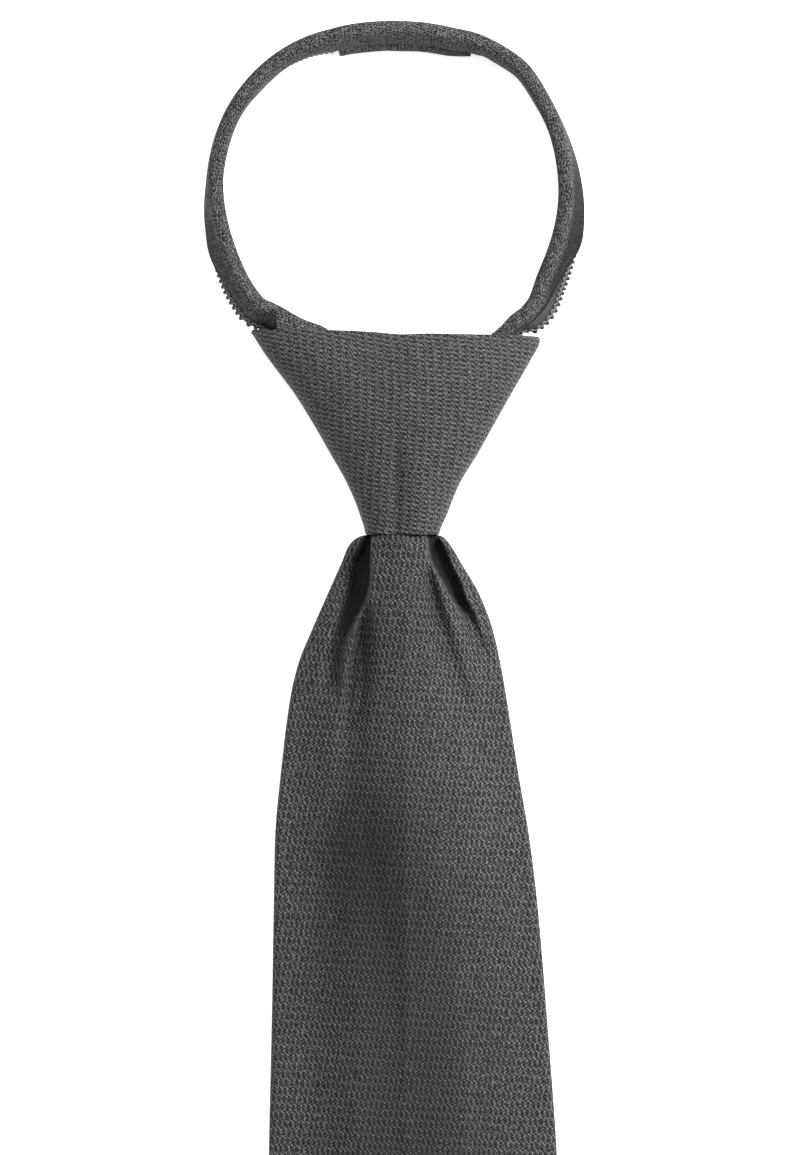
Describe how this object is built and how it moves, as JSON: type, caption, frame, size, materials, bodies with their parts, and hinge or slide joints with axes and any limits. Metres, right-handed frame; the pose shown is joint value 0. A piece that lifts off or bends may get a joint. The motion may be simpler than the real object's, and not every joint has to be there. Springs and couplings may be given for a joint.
{
  "type": "zipper tie",
  "caption": "Pre-tied necktie with a fixed triangular knot, a folded pointed blade and a neck loop closed by a coil zipper.",
  "frame": {"origin": "middle of the knot's flat back, on the surface that the tie lies on", "axes": "+Y from the knot towards the neck loop, +X to the loop's right, +Z out of the tie's front"},
  "size_m": [0.0927, 0.5702, 0.0202],
  "materials": {
    "tie_cloth": "woven, slightly glossy",
    "band_cloth": "woven, slightly glossy",
    "zip_tape": "woven tape",
    "zip_coil": "satin",
    "slider": "satin"
  },
  "bodies": {
    "root": {"knot": "tie_cloth", "zip_slider": "slider", "front_blade": "tie_cloth", "neck_band": "band_cloth", "zip_tape_right": "zip_tape", "zip_tape_left": "zip_tape", "zip_coil_right": "zip_coil", "zip_coil_left": "zip_coil", "back_bridge": "band_cloth", "band_tuck_left": "band_cloth", "band_tuck_right": "band_cloth", "tail_band_left": "band_cloth", "tail_chain": "zip_coil", "tail_band_right": "band_cloth", "tail_tab": "band_cloth"}
  },
  "joints": []
}
